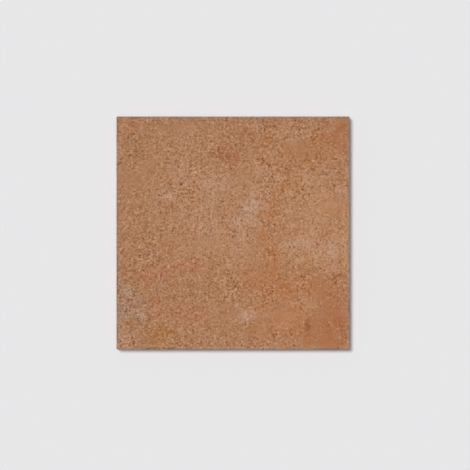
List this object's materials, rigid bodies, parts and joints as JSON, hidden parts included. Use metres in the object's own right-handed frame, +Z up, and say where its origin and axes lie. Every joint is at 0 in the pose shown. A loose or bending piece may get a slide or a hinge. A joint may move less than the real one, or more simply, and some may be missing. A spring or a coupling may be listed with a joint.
{
  "type": "terracotta-look floor tile",
  "caption": "Square pressed ceramic floor tile with a pitted terracotta-look face, rounded arrises and a shallow rib key on its back for adhesive.",
  "frame": {"origin": "middle of the back, on the plane of the rib tips that the tile lies on", "axes": "+Z up, from the back to the face; +X and +Y along the two sides, which are alike"},
  "size_m": [0.2, 0.2, 0.009],
  "materials": {
    "fired_clay": "matt, slightly rough, mottled orange-brown clay"
  },
  "bodies": {
    "root": {"tile": "fired_clay"}
  },
  "joints": []
}
